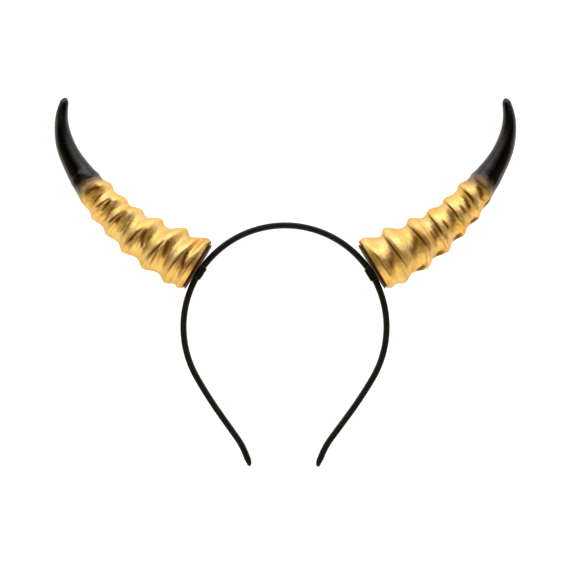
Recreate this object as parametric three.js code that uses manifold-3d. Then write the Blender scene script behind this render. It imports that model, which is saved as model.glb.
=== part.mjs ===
// Fancy-dress headband: a thin black arch that carries a pair of ringed golden horns with black tips.
// Millimetres, +Z up. The headband lies on its back: X runs across the head, Y towards the horn tips,
// and Z away from the table. Every piece is first made upright in the plane of the arch, with the centre
// of the arch at the origin, and the whole is then turned into the pose that it lies in by itself.

import * as THREE from 'three';
import { mergeVertices } from 'three/addons/utils/BufferGeometryUtils.js';
import Module from 'manifold-3d';

const wasm = await Module();
wasm.setup();

// Headband
const bandOutsideWidth = 130;
const bandThickness = 3.6;
const bandDepth = 6;
const bandCorner = 1.3;
const bandNib = 6.2;

// Seat of a horn on the arch
const seatAngle = 32.2;
const runningGap = 0.3;
const plateThickness = 1;
const plateEdgeRound = 0.35;

// Horn
const hornLength = 144.2;
const hornRadius = 16.8;
const hornWall = 1.6;
const rimRound = 1;
const solidTip = 17;
const baseSettles = 20;

// How finely the curves are faceted
const hornSides = 24;
const ridgedRings = 44;
const plainRings = 8;
const hollowRings = 26;
const axisSteps = 120;
const plateSides = 36;
const clipArcSteps = 8;

// Clip that holds a horn's plate to the band
const clipLength = 8;
const clipFootLength = 10;
const clipWall = 0.75;

// Half of the arch from the crown to a tip. A radius or a straight run is a share of the arch's radius,
// and a negative turn bends the tip outwards again.
const bandStretches = [
  { radius: 1, turn: 120, straight: 0, steps: 24 },
  { radius: 4.27, turn: 6, straight: 0, steps: 3 },
  { radius: 0, turn: 0, straight: 0.27, steps: 1 },
  { radius: 0.744, turn: -22, straight: 0, steps: 6 },
  { radius: 0, turn: 0, straight: 0.027, steps: 1 },
];

// The pointed end of the band. Back is a share of the nib's length, and the rest are shares of half the
// thickness, to the inside and the outside of the arch, and of half the depth.
const nibSections = [
  { back: 1, inside: 1, outside: 1, depth: 1 },
  { back: 0.76, inside: 1.3, outside: 1, depth: 1 },
  { back: 0.42, inside: 1.2, outside: 0.72, depth: 0.92 },
  { back: 0.15, inside: 0.85, outside: 0.42, depth: 0.7 },
  { back: 0, inside: 0.4, outside: 0.15, depth: 0.4 },
];

// How the horn bends. At is a share of its length, and heading is in degrees from square to its seat.
const hornBends = [
  { at: 0, heading: -9 },
  { at: 0.103, heading: -5.2 },
  { at: 0.24, heading: 0.9 },
  { at: 0.378, heading: 9.4 },
  { at: 0.515, heading: 17.8 },
  { at: 0.653, heading: 24.2 },
  { at: 0.756, heading: 34 },
  { at: 0.838, heading: 47.1 },
  { at: 0.907, heading: 60.6 },
  { at: 1, heading: 79 },
];

// How thick the horn is in the valleys between its rings, as shares of its length and base radius.
const hornSections = [
  { at: 0, radius: 0.98 },
  { at: 0.07, radius: 0.915 },
  { at: 0.15, radius: 0.842 },
  { at: 0.22, radius: 0.79 },
  { at: 0.31, radius: 0.712 },
  { at: 0.4, radius: 0.652 },
  { at: 0.49, radius: 0.602 },
  { at: 0.56, radius: 0.566 },
  { at: 0.62, radius: 0.515 },
  { at: 0.7, radius: 0.436 },
  { at: 0.79, radius: 0.354 },
  { at: 0.87, radius: 0.278 },
  { at: 0.94, radius: 0.208 },
  { at: 0.972, radius: 0.165 },
  { at: 0.99, radius: 0.12 },
  { at: 1, radius: 0.04 },
];

// The rings are one ridge that winds round the horn. A row is one turn: where its crest crosses the top,
// the front, the underside and the back, as shares of the length, and its height there, as shares of the
// base radius. The lip at the base is a ring of its own.
const lipRidge = {
  topAt: 0.008, frontAt: 0.038, underAt: 0.026, backAt: 0.04,
  top: 0.12, front: 0.06, under: 0.06, back: 0.06,
};
const ridgeTurns = [
  {
    topAt: 0.035, frontAt: 0.086, underAt: 0.098, backAt: 0.124,
    top: 0.09, front: 0.15, under: 0.15, back: 0.19,
  },
  {
    topAt: 0.117, frontAt: 0.182, underAt: 0.199, backAt: 0.247,
    top: 0.235, front: 0.18, under: 0.17, back: 0.19,
  },
  {
    topAt: 0.243, frontAt: 0.292, underAt: 0.302, backAt: 0.33,
    top: 0.188, front: 0.145, under: 0.16, back: 0.13,
  },
  {
    topAt: 0.346, frontAt: 0.402, underAt: 0.392, backAt: 0.426,
    top: 0.12, front: 0.12, under: 0.105, back: 0.11,
  },
  {
    topAt: 0.436, frontAt: 0.481, underAt: 0.476, backAt: 0.522,
    top: 0.1, front: 0.1, under: 0.095, back: 0.095,
  },
  {
    topAt: 0.532, frontAt: 0.57, underAt: 0.557, backAt: 0.598,
    top: 0.095, front: 0.07, under: 0.045, back: 0.065,
  },
  {
    topAt: 0.608, frontAt: 0.639, underAt: 0.632, backAt: 0.673,
    top: 0.03, front: 0.03, under: 0.012, back: 0,
  },
];

// How far the ridge's two slopes reach, on each side of the horn, as shares of the way to the next crest:
// rise is the slope towards the base, and fall the slope towards the tip.
const ridgeSlopes = [
  { turn: -0.25, rise: 0.4, fall: 0.56 },
  { turn: 0, rise: 0.32, fall: 0.55 },
  { turn: 0.25, rise: 0.5, fall: 0.44 },
  { turn: 0.5, rise: 0.56, fall: 0.36 },
  { turn: 0.75, rise: 0.4, fall: 0.56 },
  { turn: 1, rise: 0.32, fall: 0.55 },
  { turn: 1.25, rise: 0.5, fall: 0.44 },
];
const ridgeRoundness = 1.2;
const innerRidgeShare = 0.5;

// The two horns come from one mould and sit a little differently on the arch: the rise is how far a base
// lies above the clip, towards the crown, and the lean is in degrees, upwards.
const hornSeats = [
  { side: 'right', turned: 0, rise: 3.5, lean: -0.15 },
  { side: 'left', turned: Math.PI, rise: 2.15, lean: -0.9 },
];

// Finishes
const black = { color: 0x0b0b0c, roughness: 0.42, metalness: 0 };
const gold = { color: 0xc8962f, roughness: 0.34, metalness: 0.85 };
const plateTan = { color: 0xb99a62, roughness: 0.5, metalness: 0.2 };

// Sizes that follow from the others
const archRadius = (bandOutsideWidth - bandThickness) / 2;
const seatRadius = archRadius + bandThickness / 2 + runningGap;
const hornBase = seatRadius + plateThickness + runningGap;
const plateRadius = hornSections[0].radius * hornRadius - rimRound;
const shellEnd = hornLength - solidTip;
const rimEdge = Math.min(rimRound, hornWall * 0.7);

const radians = THREE.MathUtils.degToRad;

// A smooth value between the rows of a table, by the row's place and one named column.
function between(rows, place, at, column) {
  const last = rows.length - 1;
  let row = 0;
  while (row < last - 1 && place > rows[row + 1][at]) row += 1;
  const slope = (i) => {
    const low = rows[Math.max(i - 1, 0)];
    const high = rows[Math.min(i + 1, last)];
    return (high[column] - low[column]) / (high[at] - low[at]);
  };
  const run = rows[row + 1][at] - rows[row][at];
  const t = THREE.MathUtils.clamp((place - rows[row][at]) / run, 0, 1);
  const startWeight = 2 * t ** 3 - 3 * t ** 2 + 1;
  const startSlope = (t ** 3 - 2 * t ** 2 + t) * run;
  const endSlope = (t ** 3 - t ** 2) * run;
  return rows[row][column] * startWeight + rows[row + 1][column] * (1 - startWeight)
    + slope(row) * startSlope + slope(row + 1) * endSlope;
}

// A closed skin over rings of points, drawn together to one point at each end.
function skinOverRings(startPoint, rings, endPoint) {
  const count = rings[0].length;
  const points = [startPoint, ...rings.flat(), endPoint];
  const triangles = [];
  for (let i = 0; i < count; i += 1) {
    const next = (i + 1) % count;
    triangles.push(0, 1 + i, 1 + next);
    for (let ring = 0; ring + 1 < rings.length; ring += 1) {
      const near = 1 + ring * count;
      const far = near + count;
      triangles.push(near + i, far + next, near + next);
      triangles.push(near + i, far + i, far + next);
    }
    const rim = 1 + (rings.length - 1) * count;
    triangles.push(points.length - 1, rim + next, rim + i);
  }
  const geometry = new THREE.BufferGeometry();
  geometry.setAttribute('position', new THREE.Float32BufferAttribute(points.flatMap((p) => p.toArray()), 3));
  geometry.setIndex(triangles);
  geometry.computeVertexNormals();
  return geometry;
}

function asSolid(geometry) {
  const plain = geometry.clone();
  plain.deleteAttribute('normal');
  plain.deleteAttribute('uv');
  const merged = mergeVertices(plain, 1e-4);
  return new wasm.Manifold(new wasm.Mesh({
    numProp: 3,
    vertProperties: new Float32Array(merged.attributes.position.array),
    triVerts: new Uint32Array(merged.index.array),
  }));
}

function asGeometry(solid) {
  const mesh = solid.getMesh();
  const geometry = new THREE.BufferGeometry();
  geometry.setAttribute('position', new THREE.BufferAttribute(mesh.vertProperties, 3));
  geometry.setIndex(new THREE.BufferAttribute(mesh.triVerts, 1));
  geometry.computeVertexNormals();
  return geometry;
}

function namedMesh(name, geometry, finish) {
  const mesh = new THREE.Mesh(geometry, new THREE.MeshStandardMaterial(finish));
  mesh.name = name;
  return mesh;
}

// Stations along the right half of the band: a point, the direction of travel and the distance run.
function bandStations() {
  const stations = [{ x: 0, y: archRadius, heading: 0, run: 0 }];
  for (const stretch of bandStretches) {
    const turn = radians(stretch.turn);
    const length = archRadius * (stretch.straight + stretch.radius * Math.abs(turn));
    for (let step = 0; step < stretch.steps; step += 1) {
      const from = stations[stations.length - 1];
      const heading = from.heading + turn / stretch.steps;
      const middle = (from.heading + heading) / 2;
      const half = turn / stretch.steps / 2;
      const stepLength = length / stretch.steps;
      const chord = half === 0 ? stepLength : (stepLength * Math.sin(half)) / half;
      stations.push({
        x: from.x + chord * Math.cos(middle),
        y: from.y - chord * Math.sin(middle),
        heading,
        run: from.run + stepLength,
      });
    }
  }
  return stations;
}

// The half band cut at the rows of its nib, so that each section is where a table row says.
function bandSections() {
  const stations = bandStations();
  const length = stations[stations.length - 1].run;
  const nibStart = length - bandNib;
  const plain = stations.filter((station) => station.run < nibStart - bandThickness / 4);
  const sections = plain.map((station) => ({ ...station, inside: 1, outside: 1, depth: 1 }));
  for (const row of nibSections) {
    const run = length - row.back * bandNib;
    const place = {};
    for (const column of ['x', 'y', 'heading']) place[column] = between(stations, run, 'run', column);
    sections.push({ ...place, run, inside: row.inside, outside: row.outside, depth: row.depth });
  }
  return sections;
}

// One rounded section of the band, square to its direction of travel on the side given by mirror.
function bandRing(section, mirror) {
  const corner = Math.min(bandCorner, bandThickness * 0.45, bandDepth * 0.45);
  const ring = [];
  const corners = [[1, 1], [-1, 1], [-1, -1], [1, -1]];
  corners.forEach(([outward, up], index) => {
    for (let step = 0; step < 3; step += 1) {
      const angle = (index + step / 2) * (Math.PI / 2);
      const across = outward * (bandThickness / 2 - corner) + corner * Math.cos(angle);
      const high = up * (bandDepth / 2 - corner) + corner * Math.sin(angle);
      const out = across * (across > 0 ? section.outside : section.inside);
      ring.push(new THREE.Vector3(
        mirror * (section.x + out * Math.sin(section.heading)),
        section.y + out * Math.cos(section.heading),
        high * section.depth,
      ));
    }
  });
  return ring;
}

function headband() {
  const half = bandSections();
  const right = half.map((section) => bandRing(section, 1));
  const left = half.slice(1).map((section) => bandRing(section, -1)).reverse();
  const tip = half[half.length - 1];
  const end = (mirror) => new THREE.Vector3(mirror * tip.x, tip.y, 0);
  const rings = [...right].reverse().concat([...left].reverse());
  return namedMesh('headband', skinOverRings(end(1), rings, end(-1)), black);
}

// The horn's axis: points one after the other in the plane of the arch, each with its heading.
function hornAxis() {
  const axis = [{ run: 0, x: 0, y: 0, heading: radians(hornBends[0].heading) }];
  for (let step = 1; step <= axisSteps; step += 1) {
    const from = axis[step - 1];
    const share = step / axisSteps;
    const heading = radians(between(hornBends, share, 'at', 'heading'));
    const middle = (from.heading + heading) / 2;
    axis.push({
      run: share * hornLength,
      x: from.x + (hornLength / axisSteps) * Math.cos(middle),
      y: from.y + (hornLength / axisSteps) * Math.sin(middle),
      heading,
    });
  }
  return axis;
}

const sidesOfTurn = ['top', 'front', 'under', 'back'];

// The ridge's crests on one line along the horn. Round runs from 0 at the top through 0.25 at the front.
function crestsAt(round) {
  const quarters = [];
  for (const [turn, row] of ridgeTurns.entries()) {
    for (const [quarter, side] of sidesOfTurn.entries()) {
      quarters.push({ turn: turn + quarter / 4, at: row[`${side}At`], height: row[side] });
    }
  }
  const crests = [];
  for (let turn = 0; turn < ridgeTurns.length; turn += 1) {
    const place = turn + round;
    crests.push({
      at: between(quarters, place, 'turn', 'at') * hornLength,
      height: Math.max(between(quarters, place, 'turn', 'height'), 0) * hornRadius,
    });
  }
  return crests;
}

function lipAt(round) {
  const quarters = [];
  for (let quarter = -1; quarter <= 5; quarter += 1) {
    const side = sidesOfTurn[(quarter + 4) % 4];
    quarters.push({ turn: quarter / 4, at: lipRidge[`${side}At`], height: lipRidge[side] });
  }
  return {
    at: between(quarters, round, 'turn', 'at') * hornLength,
    height: between(quarters, round, 'turn', 'height') * hornRadius,
  };
}

// How far the ridge stands out of the horn at a distance along it, on one line along the horn.
function ridgeHeight(crests, round, run) {
  const rise = between(ridgeSlopes, round, 'turn', 'rise');
  const fall = between(ridgeSlopes, round, 'turn', 'fall');
  let height = 0;
  crests.forEach((crest, index) => {
    const before = index > 0 ? crest.at - crests[index - 1].at : crests[1].at - crest.at;
    const after = index + 1 < crests.length ? crests[index + 1].at - crest.at : before;
    const width = run < crest.at ? before * rise : after * fall;
    const x = Math.min(Math.abs(run - crest.at) / Math.max(width, 0.01), 1);
    height = Math.max(height, crest.height * (1 - x) ** 2 * (1 + ridgeRoundness * x));
  });
  return height;
}

function rimInset(run) {
  if (run >= rimEdge) return 0;
  const back = 1 - run / rimEdge;
  return rimEdge * (1 - Math.sqrt(1 - back * back));
}

// A ring of points round the horn's axis. Inward is how deep the surface lies under the horn's skin, and
// share is how much of the ridge it follows. Rings near the base are turned to lie flat on the seat.
function hornRing(axis, crestLines, run, inward, share) {
  const place = {};
  for (const column of ['x', 'y', 'heading']) place[column] = between(axis, run, 'run', column);
  const settle = Math.max(1 - run / baseSettles, 0);
  const square = place.heading - axis[0].heading * settle * settle;
  const radius = between(hornSections, run / hornLength, 'at', 'radius') * hornRadius;
  return crestLines.map(({ round, crests }) => {
    const angle = round * 2 * Math.PI;
    const out = radius + share * ridgeHeight(crests, round, run) - inward;
    const upward = out * Math.cos(angle);
    return new THREE.Vector3(
      place.x - upward * Math.sin(square),
      place.y + upward * Math.cos(square),
      -out * Math.sin(angle),
    );
  });
}

// Distances along the horn at which the skin has a ring: close over the ridge, wider on the plain tip.
function ringRuns() {
  const ridgedEnd = ridgeTurns[ridgeTurns.length - 1].backAt * hornLength;
  const tipRows = hornSections.slice(-4, -1).map((row) => row.at * hornLength);
  const runs = [0, rimEdge * 0.3, rimEdge];
  for (let step = 1; step <= ridgedRings; step += 1) {
    runs.push(rimEdge + ((ridgedEnd - rimEdge) * step) / ridgedRings);
  }
  for (let step = 1; step < plainRings; step += 1) {
    runs.push(ridgedEnd + ((tipRows[0] - ridgedEnd) * step) / plainRings);
  }
  return [...runs, ...tipRows];
}

// The right horn: one moulded shell, open at its base, with its ridge inside and out.
function hornShell() {
  const axis = hornAxis();
  const crestLines = [];
  for (let side = 0; side < hornSides; side += 1) {
    const round = side / hornSides;
    crestLines.push({ round, crests: [lipAt(round), ...crestsAt(round)] });
  }
  const outer = ringRuns().map((run) => hornRing(axis, crestLines, run, rimInset(run), 1));
  const inner = [];
  for (let step = 0; step <= hollowRings; step += 1) {
    inner.push(hornRing(axis, crestLines, (shellEnd * step) / hollowRings, hornWall, innerRidgeShare));
  }
  const along = (run, column) => between(axis, run, 'run', column);
  const onAxis = (run) => new THREE.Vector3(along(run, 'x'), along(run, 'y'), 0);
  return skinOverRings(onAxis(shellEnd + hornWall), [...inner].reverse().concat(outer), onAxis(hornLength));
}

// A thin disc with soft edges that closes the horn's base.
function basePlate() {
  const half = plateThickness / 2;
  const edge = Math.min(plateEdgeRound, half);
  const profile = [new THREE.Vector2(0, -half), new THREE.Vector2(plateRadius - edge, -half)];
  profile.push(new THREE.Vector2(plateRadius, edge - half), new THREE.Vector2(plateRadius, half - edge));
  profile.push(new THREE.Vector2(plateRadius - edge, half), new THREE.Vector2(0, half));
  return new THREE.LatheGeometry(profile, plateSides).rotateZ(-Math.PI / 2);
}

// A saddle that straddles the band, with its feet on the plate: a block, wider at its feet, less the band.
function bandClip() {
  const inside = archRadius - bandThickness / 2 - runningGap - clipWall;
  const feet = seatRadius - runningGap;
  const deep = bandDepth / 2 + runningGap + clipWall;
  const outline = new THREE.Shape([
    new THREE.Vector2(inside, -clipLength / 2),
    new THREE.Vector2(feet, -clipFootLength / 2),
    new THREE.Vector2(feet, clipFootLength / 2),
    new THREE.Vector2(inside, clipLength / 2),
  ]);
  const block = new THREE.ExtrudeGeometry(outline, { depth: 2 * deep, bevelEnabled: false });
  block.translate(0, 0, -deep);
  const nearRadius = archRadius - bandThickness / 2 - runningGap;
  const farRadius = nearRadius + bandThickness + clipLength;
  const reach = clipFootLength / archRadius;
  const band = new THREE.Shape();
  band.absarc(0, 0, farRadius, -reach, reach, false);
  band.absarc(0, 0, nearRadius, reach, -reach, true);
  const tunnelHalf = bandDepth / 2 + runningGap;
  const tunnel = new THREE.ExtrudeGeometry(band, {
    depth: 2 * tunnelHalf, bevelEnabled: false, curveSegments: clipArcSteps,
  });
  tunnel.translate(0, 0, -tunnelHalf);
  return asGeometry(asSolid(block).subtract(asSolid(tunnel)));
}

// A horn on its plate and the clip under them, on the right of the arch or turned round to its left.
function hornAndSeat({ side, turned, rise, lean }, shell) {
  const sideGroup = new THREE.Group();
  sideGroup.rotation.y = turned;
  const seat = new THREE.Group();
  seat.rotation.z = radians(seatAngle);
  sideGroup.add(seat);
  seat.add(namedMesh(`band_clip_${side}`, bandClip(), black));
  const leaning = new THREE.Group();
  leaning.position.set(hornBase, rise, 0);
  leaning.rotation.z = radians(lean);
  seat.add(leaning);
  const plate = namedMesh(`base_plate_${side}`, basePlate(), plateTan);
  plate.position.x = -runningGap - plateThickness / 2;
  leaning.add(plate, namedMesh(`horn_${side}`, shell, gold));
  return sideGroup;
}

// Points, and the centre of mass when every piece has the same density.
function pointsAndCentre(group) {
  group.updateMatrixWorld(true);
  const points = [];
  const centre = new THREE.Vector3();
  let volume = 0;
  group.traverse((mesh) => {
    if (!mesh.isMesh) return;
    const position = mesh.geometry.attributes.position;
    const own = [];
    for (let i = 0; i < position.count; i += 1) {
      own.push(new THREE.Vector3().fromBufferAttribute(position, i).applyMatrix4(mesh.matrixWorld));
    }
    const order = mesh.geometry.index ? mesh.geometry.index.array : own.map((_, i) => i);
    for (let i = 0; i < order.length; i += 3) {
      const [a, b, c] = [own[order[i]], own[order[i + 1]], own[order[i + 2]]];
      const part = a.dot(new THREE.Vector3().crossVectors(b, c)) / 6;
      volume += part;
      centre.addScaledVector(new THREE.Vector3().add(a).add(b).add(c), part / 4);
    }
    points.push(...own);
  });
  return { points, centre: centre.divideScalar(volume) };
}

// The table top that the piece would settle on: the plane under all points that is highest below the
// centre of mass. Each slope is found by narrowing a range, because the height has one peak.
const steepestAcross = 0.2;
const steepestAlong = 0.5;
const slopeTolerance = 1e-6;

function tableUnder(group) {
  const { points, centre } = pointsAndCentre(group);
  const level = (slopeX, slopeY) => {
    let lowest = Infinity;
    for (const p of points) {
      lowest = Math.min(lowest, p.z - slopeX * (p.x - centre.x) - slopeY * (p.y - centre.y));
    }
    return lowest;
  };
  const peak = (height, reach) => {
    let low = -reach;
    let high = reach;
    while (high - low > slopeTolerance) {
      const third = (high - low) / 3;
      if (height(low + third) < height(high - third)) low += third;
      else high -= third;
    }
    return (low + high) / 2;
  };
  const bestSlopeX = (slopeY) => peak((slopeX) => level(slopeX, slopeY), steepestAcross);
  const slopeY = peak((slope) => level(bestSlopeX(slope), slope), steepestAlong);
  return new THREE.Vector3(-bestSlopeX(slopeY), -slopeY, 1).normalize();
}

const upright = new THREE.Group();
upright.add(headband());
const shell = hornShell();
for (const seat of hornSeats) upright.add(hornAndSeat(seat, shell));

const headpiece = new THREE.Group();
headpiece.add(upright);
upright.quaternion.setFromUnitVectors(tableUnder(upright), new THREE.Vector3(0, 0, 1));
const box = new THREE.Box3().setFromObject(headpiece, true);
const middle = box.getCenter(new THREE.Vector3());
upright.position.set(-middle.x, -middle.y, -box.min.z);

export default headpiece;
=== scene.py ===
import math
import bmesh
import bpy
import numpy as np
from mathutils import Matrix, Vector


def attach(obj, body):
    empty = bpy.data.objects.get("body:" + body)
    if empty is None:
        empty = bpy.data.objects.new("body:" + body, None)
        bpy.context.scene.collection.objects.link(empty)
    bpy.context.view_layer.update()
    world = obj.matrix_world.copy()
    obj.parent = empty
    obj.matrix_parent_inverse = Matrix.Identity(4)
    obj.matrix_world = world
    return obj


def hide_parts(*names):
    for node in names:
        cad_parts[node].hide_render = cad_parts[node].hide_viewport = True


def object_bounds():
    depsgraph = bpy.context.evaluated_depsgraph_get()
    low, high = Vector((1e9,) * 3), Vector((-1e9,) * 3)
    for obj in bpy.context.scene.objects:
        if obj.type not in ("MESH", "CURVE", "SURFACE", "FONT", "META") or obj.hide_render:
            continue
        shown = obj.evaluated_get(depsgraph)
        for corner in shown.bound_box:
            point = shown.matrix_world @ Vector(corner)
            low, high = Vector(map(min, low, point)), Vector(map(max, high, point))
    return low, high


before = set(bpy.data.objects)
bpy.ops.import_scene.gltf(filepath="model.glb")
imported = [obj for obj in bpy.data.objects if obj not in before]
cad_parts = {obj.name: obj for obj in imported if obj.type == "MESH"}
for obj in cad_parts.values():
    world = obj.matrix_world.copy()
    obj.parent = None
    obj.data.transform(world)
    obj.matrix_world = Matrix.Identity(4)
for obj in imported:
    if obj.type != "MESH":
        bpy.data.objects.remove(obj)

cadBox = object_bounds()
scene = bpy.context.scene
mm = 0.001
mergeReach = 1e-6  # metres

print("stage: finding how the arch lies in the packed frame")
arch = {"outsideWidth": 130.0, "thickness": 3.6, "depth": 5.8, "corner": 1.25, "cornerSteps": 7, "swell": 0.3}
archRadius = (arch["outsideWidth"] - arch["thickness"]) / 2


def archPlace():
    points = np.array([v.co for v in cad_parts["headband"].data.vertices])
    centred = points - points.mean(axis=0)
    planeNormal = np.linalg.svd(centred, full_matrices=False)[2][2]
    planeNormal *= np.sign(planeNormal[2])
    table = Vector((-planeNormal[0], -planeNormal[1], planeNormal[2]))  # the table's normal, seen upright
    turn = table.rotation_difference(Vector((0, 0, 1))).to_matrix()
    upright = points @ np.array(turn)  # row vectors, so this turns them back upright
    low, high = upright.min(axis=0), upright.max(axis=0)
    crown = high[1] - arch["outsideWidth"] / 2 * mm
    centre = Vector(((low[0] + high[0]) / 2, crown, (low[2] + high[2]) / 2))
    return Matrix.Translation(turn @ centre) @ turn.to_4x4()


lay = archPlace()
layTurn = np.array(lay.to_3x3())


def layDown(points):
    # upright millimetres round the arch's centre to metres in the frame
    return np.asarray(points, float) * mm @ layTurn.T + np.array(lay.translation)


def smoothTable(at, values, places):
    # a curve through the values, its slopes taken from their neighbours
    at, values = np.asarray(at, float), np.asarray(values, float)
    last = len(at) - 1
    index = np.arange(last + 1)
    low, high = np.maximum(index - 1, 0), np.minimum(index + 1, last)
    slopes = (values[high] - values[low]) / (at[high] - at[low])
    row = np.clip(np.searchsorted(at, places, side="left") - 1, 0, last - 1)
    run = at[row + 1] - at[row]
    t = np.clip((places - at[row]) / run, 0, 1)
    startWeight = 2 * t ** 3 - 3 * t ** 2 + 1
    startSlope = slopes[row] * (t ** 3 - 2 * t ** 2 + t) * run
    endSlope = slopes[row + 1] * (t ** 3 - t ** 2) * run
    return values[row] * startWeight + values[row + 1] * (1 - startWeight) + startSlope + endSlope


def gentle(x):
    # from 0 to 1 with soft ends
    x = np.clip(x, 0, 1)
    return x * x * (3 - 2 * x)


def newMesh(name, points, faces):
    mesh = bpy.data.meshes.new(name)
    mesh.from_pydata(np.asarray(points).tolist(), [], faces)
    mesh.validate()
    return mesh


def newPiece(name, mesh):
    piece = bpy.data.objects.new(name, mesh)
    scene.collection.objects.link(piece)
    return piece


def faceOutwards(mesh):
    work = bmesh.new()
    work.from_mesh(mesh)
    if work.calc_volume(signed=True) < 0:
        bmesh.ops.reverse_faces(work, faces=work.faces)
    work.to_mesh(mesh)
    work.free()
    mesh.polygons.foreach_set("use_smooth", [True] * len(mesh.polygons))


def keepInBox(mesh):
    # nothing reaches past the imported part, so the resting places lie flat on the table
    points = np.empty(len(mesh.vertices) * 3)
    mesh.vertices.foreach_get("co", points)
    points = np.clip(points.reshape(-1, 3), np.array(cadBox[0]), np.array(cadBox[1]))
    mesh.vertices.foreach_set("co", points.ravel())
    mesh.update()


def putMaterial(mesh, material):
    mesh.materials.clear()
    mesh.materials.append(material)


def setInputs(tree, node, values):
    for key, value in values.items():
        if isinstance(value, bpy.types.NodeSocket):
            tree.links.new(value, node.inputs[key])
        else:
            node.inputs[key].default_value = value


def nodeTool(tree):
    # gives a function that adds a node, sets its properties, and sets or links its inputs
    def add(kind, inputs=None, **settings):
        node = tree.nodes.new(kind)
        for key, value in settings.items():
            setattr(node, key, value)
        setInputs(tree, node, inputs or {})
        return node
    return add


def calc(add, operation, *values):
    return add("ShaderNodeMath", dict(enumerate(values)), operation=operation).outputs[0]


def summed(add, first, second):
    return add("ShaderNodeVectorMath", {0: first, 1: second}).outputs[0]


def scaled(add, vector, factor):
    return add("ShaderNodeVectorMath", {0: vector, 3: factor}, operation="SCALE").outputs[0]


def ramp(add, value, start, end, low=0.0, high=1.0, kind="LINEAR"):
    return add("ShaderNodeMapRange", {0: value, 1: start, 2: end, 3: low, 4: high},
               interpolation_type=kind).outputs[0]


def mixColours(add, share, first, second):
    return add("ShaderNodeMix", {0: share, 6: first, 7: second}, data_type="RGBA").outputs[2]


def noise(add, place, scale, detail, roughness=0.5):
    return add("ShaderNodeTexNoise", {
        "Vector": place, "Scale": scale, "Detail": detail, "Roughness": roughness}).outputs[0]


print("stage: paint and materials")


def newShaderGroup(name, inputs, outputs):
    tree = bpy.data.node_groups.new(name, "ShaderNodeTree")
    for label, kind, value in inputs:
        socket = tree.interface.new_socket(label, in_out="INPUT", socket_type=kind)
        if value is not None:
            socket.default_value = value
    for label, kind in outputs:
        tree.interface.new_socket(label, in_out="OUTPUT", socket_type=kind)
    return tree, nodeTool(tree), tree.nodes.new("NodeGroupInput"), tree.nodes.new("NodeGroupOutput")


paintPattern = {
    "streakDetail": 3.0, "streakRoughness": 0.6, "grainShare": 0.35, "cloudScale": 0.11, "cloudDetail": 2.0,
    "dentScale": 0.4, "least": 0.3, "most": 0.7,  # least and most are where the noise counts as 0 and 1
}


def brushedPaintGroup():
    # streaks that run round the piece, with shallow dents and a fine grain, as one height and two masks
    tree, add, given, out = newShaderGroup("brushedPaint", [
        ("Place", "NodeSocketVector", None),
        ("Streak Pitch", "NodeSocketFloat", 0.9),
        ("Streak Length", "NodeSocketFloat", 9.0),
        ("Grain Pitch", "NodeSocketFloat", 0.35),
        ("Dents", "NodeSocketFloat", 0.0),
    ], [("Height", "NodeSocketFloat"), ("Streaks", "NodeSocketFloat"), ("Clouds", "NodeSocketFloat")])
    place = given.outputs["Place"]
    across, along, fine = [calc(add, "DIVIDE", 1.0, given.outputs[label])
                           for label in ("Streak Pitch", "Streak Length", "Grain Pitch")]
    stretch = add("ShaderNodeCombineXYZ", {"X": across, "Y": along, "Z": along})
    placed = add("ShaderNodeVectorMath", {0: place, 1: stretch.outputs[0]}, operation="MULTIPLY")
    streaks = noise(add, placed.outputs[0], 1.0, paintPattern["streakDetail"],
                    paintPattern["streakRoughness"])
    grain = noise(add, place, fine, 1.0)
    clouds = noise(add, place, paintPattern["cloudScale"], paintPattern["cloudDetail"])
    dents = noise(add, place, paintPattern["dentScale"], 1.0)
    relief = calc(add, "MULTIPLY_ADD", grain, paintPattern["grainShare"], streaks)
    height = calc(add, "MULTIPLY_ADD", dents, given.outputs["Dents"], relief)
    setInputs(tree, out, {"Height": height, "Streaks": streaks, "Clouds": clouds})
    return tree


brushedPaint = brushedPaintGroup()


def addBrushed(add, place, values):
    return add("ShaderNodeGroup", {"Place": place, **values}, node_tree=brushedPaint).outputs


def placeInMm(add):
    return scaled(add, add("ShaderNodeTexCoord").outputs["Object"], 1 / mm)


def newMaterial(name):
    material = bpy.data.materials.new(name)
    material.use_nodes = True
    material.node_tree.nodes.clear()
    add = nodeTool(material.node_tree)
    shader = add("ShaderNodeBsdfPrincipled")
    out = add("ShaderNodeOutputMaterial", {"Surface": shader.outputs[0]})
    out.target = "ALL"
    return material, add, shader


# the two darkest colours are painted shade: a brown for slopes that face the base, the rim and the notches
# underneath, and a near black for the creases
goldPaint = {
    "light": (0.88, 0.64, 0.265, 1), "deep": (0.81, 0.495, 0.12, 1), "paintedShade": (0.25, 0.11, 0.014, 1),
    "paintedCreaseShade": (0.10, 0.045, 0.01, 1), "edgeTint": (0.6, 0.42, 0.2, 1), "metal": 0.9, "roughness": 0.44,
    "roughnessSpread": 0.1, "specular": 0.5, "coat": 0.2, "coatRoughness": 0.25,
    "streakPitch": 1.1, "streakLength": 9.0, "grainPitch": 0.8, "dents": 1.0, "bumpDepth": 0.00024,
    "streaksInClouds": 0.6, "deepFrom": 0.6, "deepTo": 1.0,
    "shadeStreaks": 1.1, "shadeFrom": 0.1, "shadeTo": 0.98,
}
# starts and ends are distances along the horn in millimetres
tipSpray = {
    "soot": (0.17, 0.10, 0.05, 1), "black": (0.0003, 0.0003, 0.0006, 1), "roughness": 0.19, "specular": 0.42,
    "bump": 0.25, "starts": 77.0, "ends": 90.5, "uneven": 12.0, "unevenScale": 0.13, "unevenDetail": 3.0,
    "sootEndsBefore": 3.0, "blackStartsAfter": 7.0,
}


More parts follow.
